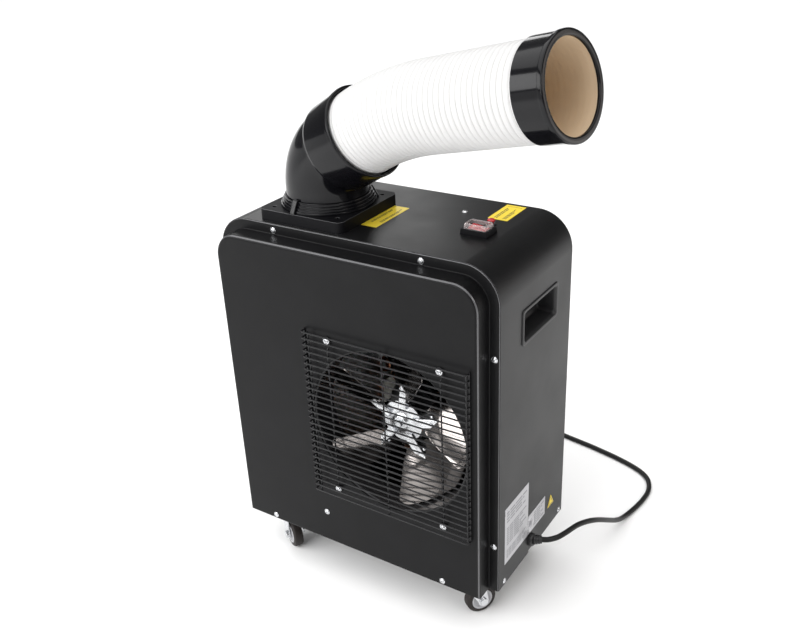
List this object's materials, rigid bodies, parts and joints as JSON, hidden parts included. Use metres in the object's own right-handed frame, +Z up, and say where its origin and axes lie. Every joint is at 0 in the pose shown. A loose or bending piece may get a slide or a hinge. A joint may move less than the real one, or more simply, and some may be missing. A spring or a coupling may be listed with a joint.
{
  "type": "portable air conditioner",
  "caption": "Portable spot cooler on swivel casters: sheet-metal cabinet, guarded condenser fan, and a swivelling flexible air duct on top.",
  "frame": {"origin": "on the floor under the middle of the whole object's box, measured without the power cord, its coil and its plug", "axes": "+Z up, -Y towards the side with the condenser fan, +X towards the side with the power cord"},
  "size_m": [0.4574, 0.4767, 0.7193],
  "materials": {
    "black_paint": "satin powder coat",
    "face_paint": "satin powder coat",
    "guard_wire": "gloss coated wire",
    "zinc": "bright zinc plate",
    "bare_aluminium": "polished",
    "fin_aluminium": "matt",
    "copper": "drawn copper tube",
    "dark_steel": "gloss enamel",
    "shaft_steel": "ground",
    "duct_plastic": "gloss moulded",
    "hose_white": "satin ribbed film",
    "white_plastic": "moulded",
    "black_plastic": "moulded",
    "red_plastic": "moulded",
    "clear_boot": "clear moulded",
    "filter_mesh": "woven mesh in a frame",
    "label_yellow": "printed film",
    "label_silver": "printed film",
    "cord_rubber": "matt jacket",
    "black_rubber": "matt",
    "tyre_rubber": "moulded"
  },
  "bodies": {
    "cabinet": {"base_pan": "black_paint", "wrap_cover": "black_paint", "front_panel": "face_paint", "rear_panel": "black_paint", "fan_guard": "guard_wire", "guard_screws": "zinc", "cabinet_screws": "zinc", "venturi_ring": "black_paint", "motor_bracket": "zinc", "fan_motor": "dark_steel", "condenser_fins": "fin_aluminium", "condenser_tubes": "copper", "evaporator_fins": "fin_aluminium", "evaporator_tubes": "copper", "compressor": "dark_steel", "compressor_feet": "black_rubber", "accumulator": "dark_steel", "refrigerant_pipes": "copper", "partition_plate": "zinc", "blower_scroll": "white_plastic", "blower_motor": "dark_steel", "drain_tray": "white_plastic", "drain_spout": "black_plastic", "control_box": "zinc", "run_capacitor": "white_plastic", "thermostat": "black_plastic", "duct_base": "duct_plastic", "duct_ring": "duct_plastic", "duct_clips": "black_plastic", "switch_body": "black_plastic", "switch_boot": "clear_boot", "reset_bushing": "black_plastic", "handle_right": "black_plastic", "handle_left": "black_plastic", "yellow_labels": "label_yellow", "silver_labels": "label_silver", "cable_gland": "black_plastic", "power_cord": "cord_rubber", "cord_coil": "cord_rubber", "power_plug": "black_plastic", "caster_plates": "zinc"},
    "fan_rotor": {"fan_shaft": "shaft_steel", "fan_hub": "bare_aluminium", "fan_blades": "bare_aluminium"},
    "blower_rotor": {"blower_wheel": "black_plastic"},
    "elbow": {"duct_elbow": "duct_plastic", "flex_duct": "hose_white"},
    "outlet": {"end_collar": "duct_plastic"},
    "rocker": {"switch_rocker": "red_plastic"},
    "reset": {"reset_button": "red_plastic"},
    "filter": {"air_filter": "filter_mesh"},
    "plug": {"drain_plug": "red_plastic"},
    "fork_fl": {"caster_fork_fl": "zinc"},
    "wheel_fl": {"caster_wheel_fl": "tyre_rubber"},
    "fork_fr": {"caster_fork_fr": "zinc"},
    "wheel_fr": {"caster_wheel_fr": "tyre_rubber"},
    "fork_rl": {"caster_fork_rl": "zinc"},
    "wheel_rl": {"caster_wheel_rl": "tyre_rubber"},
    "fork_rr": {"caster_fork_rr": "zinc"},
    "wheel_rr": {"caster_wheel_rr": "tyre_rubber"}
  },
  "joints": [
    {"name": "fan_spin", "type": "hinge", "parent": "cabinet", "child": "fan_rotor", "pos_m": [0.02082, -0.0775, 0.262], "axis": [0, 1, 0], "continuous": true},
    {"name": "blower_spin", "type": "hinge", "parent": "cabinet", "child": "blower_rotor", "pos_m": [-0.15918, -0.0255, 0.297], "axis": [0, 1, 0], "continuous": true},
    {"name": "elbow_swivel", "type": "hinge", "parent": "cabinet", "child": "elbow", "pos_m": [-0.10718, -0.0235, 0.485], "axis": [0, 0, 1], "continuous": true},
    {"name": "duct_bend", "type": "hinge", "parent": "elbow", "child": "outlet", "pos_m": [0.05207, -0.04588, 0.63062], "axis": [-0.1392, -0.9903, 0], "range_deg": [-20, 20], "deforming": ["flex_duct"]},
    {"name": "rocker_switch", "type": "hinge", "parent": "cabinet", "child": "rocker", "pos_m": [0.08432, -0.0075, 0.486], "axis": [0, 1, 0], "range_deg": [-16, 0]},
    {"name": "reset_press", "type": "slide", "parent": "cabinet", "child": "reset", "axis": [0, 0, -1], "range_m": [0, 0.0022], "stiffness_N_per_m": 500},
    {"name": "filter_slide", "type": "slide", "parent": "cabinet", "child": "filter", "axis": [0, 0, 1], "range_m": [0, 0.15]},
    {"name": "drain_plug_pull", "type": "slide", "parent": "cabinet", "child": "plug", "axis": [0, 1, 0], "range_m": [0, 0.012]},
    {"name": "caster_swivel_fl", "type": "hinge", "parent": "cabinet", "child": "fork_fl", "pos_m": [-0.18118, -0.0725, 0.065], "axis": [0, 0, 1], "continuous": true},
    {"name": "wheel_spin_fl", "type": "hinge", "parent": "fork_fl", "child": "wheel_fl", "pos_m": [-0.17036, -0.07875, 0.02], "axis": [0.5, 0.866, 0], "continuous": true},
    {"name": "caster_swivel_fr", "type": "hinge", "parent": "cabinet", "child": "fork_fr", "pos_m": [0.10682, -0.0725, 0.065], "axis": [0, 0, 1], "continuous": true},
    {"name": "wheel_spin_fr", "type": "hinge", "parent": "fork_fr", "child": "wheel_fr", "pos_m": [0.11363, -0.06202, 0.02], "axis": [-0.8387, 0.5446, 0], "continuous": true},
    {"name": "caster_swivel_rl", "type": "hinge", "parent": "cabinet", "child": "fork_rl", "pos_m": [-0.18118, 0.0745, 0.065], "axis": [0, 0, 1], "continuous": true},
    {"name": "wheel_spin_rl", "type": "hinge", "parent": "fork_rl", "child": "wheel_rl", "pos_m": [-0.19201, 0.08075, 0.02], "axis": [-0.5, -0.866, 0], "continuous": true},
    {"name": "caster_swivel_rr", "type": "hinge", "parent": "cabinet", "child": "fork_rr", "pos_m": [0.10682, 0.0745, 0.065], "axis": [0, 0, 1], "continuous": true},
    {"name": "wheel_spin_rr", "type": "hinge", "parent": "fork_rr", "child": "wheel_rr", "pos_m": [0.09507, 0.07022, 0.02], "axis": [0.342, -0.9397, 0], "continuous": true}
  ]
}
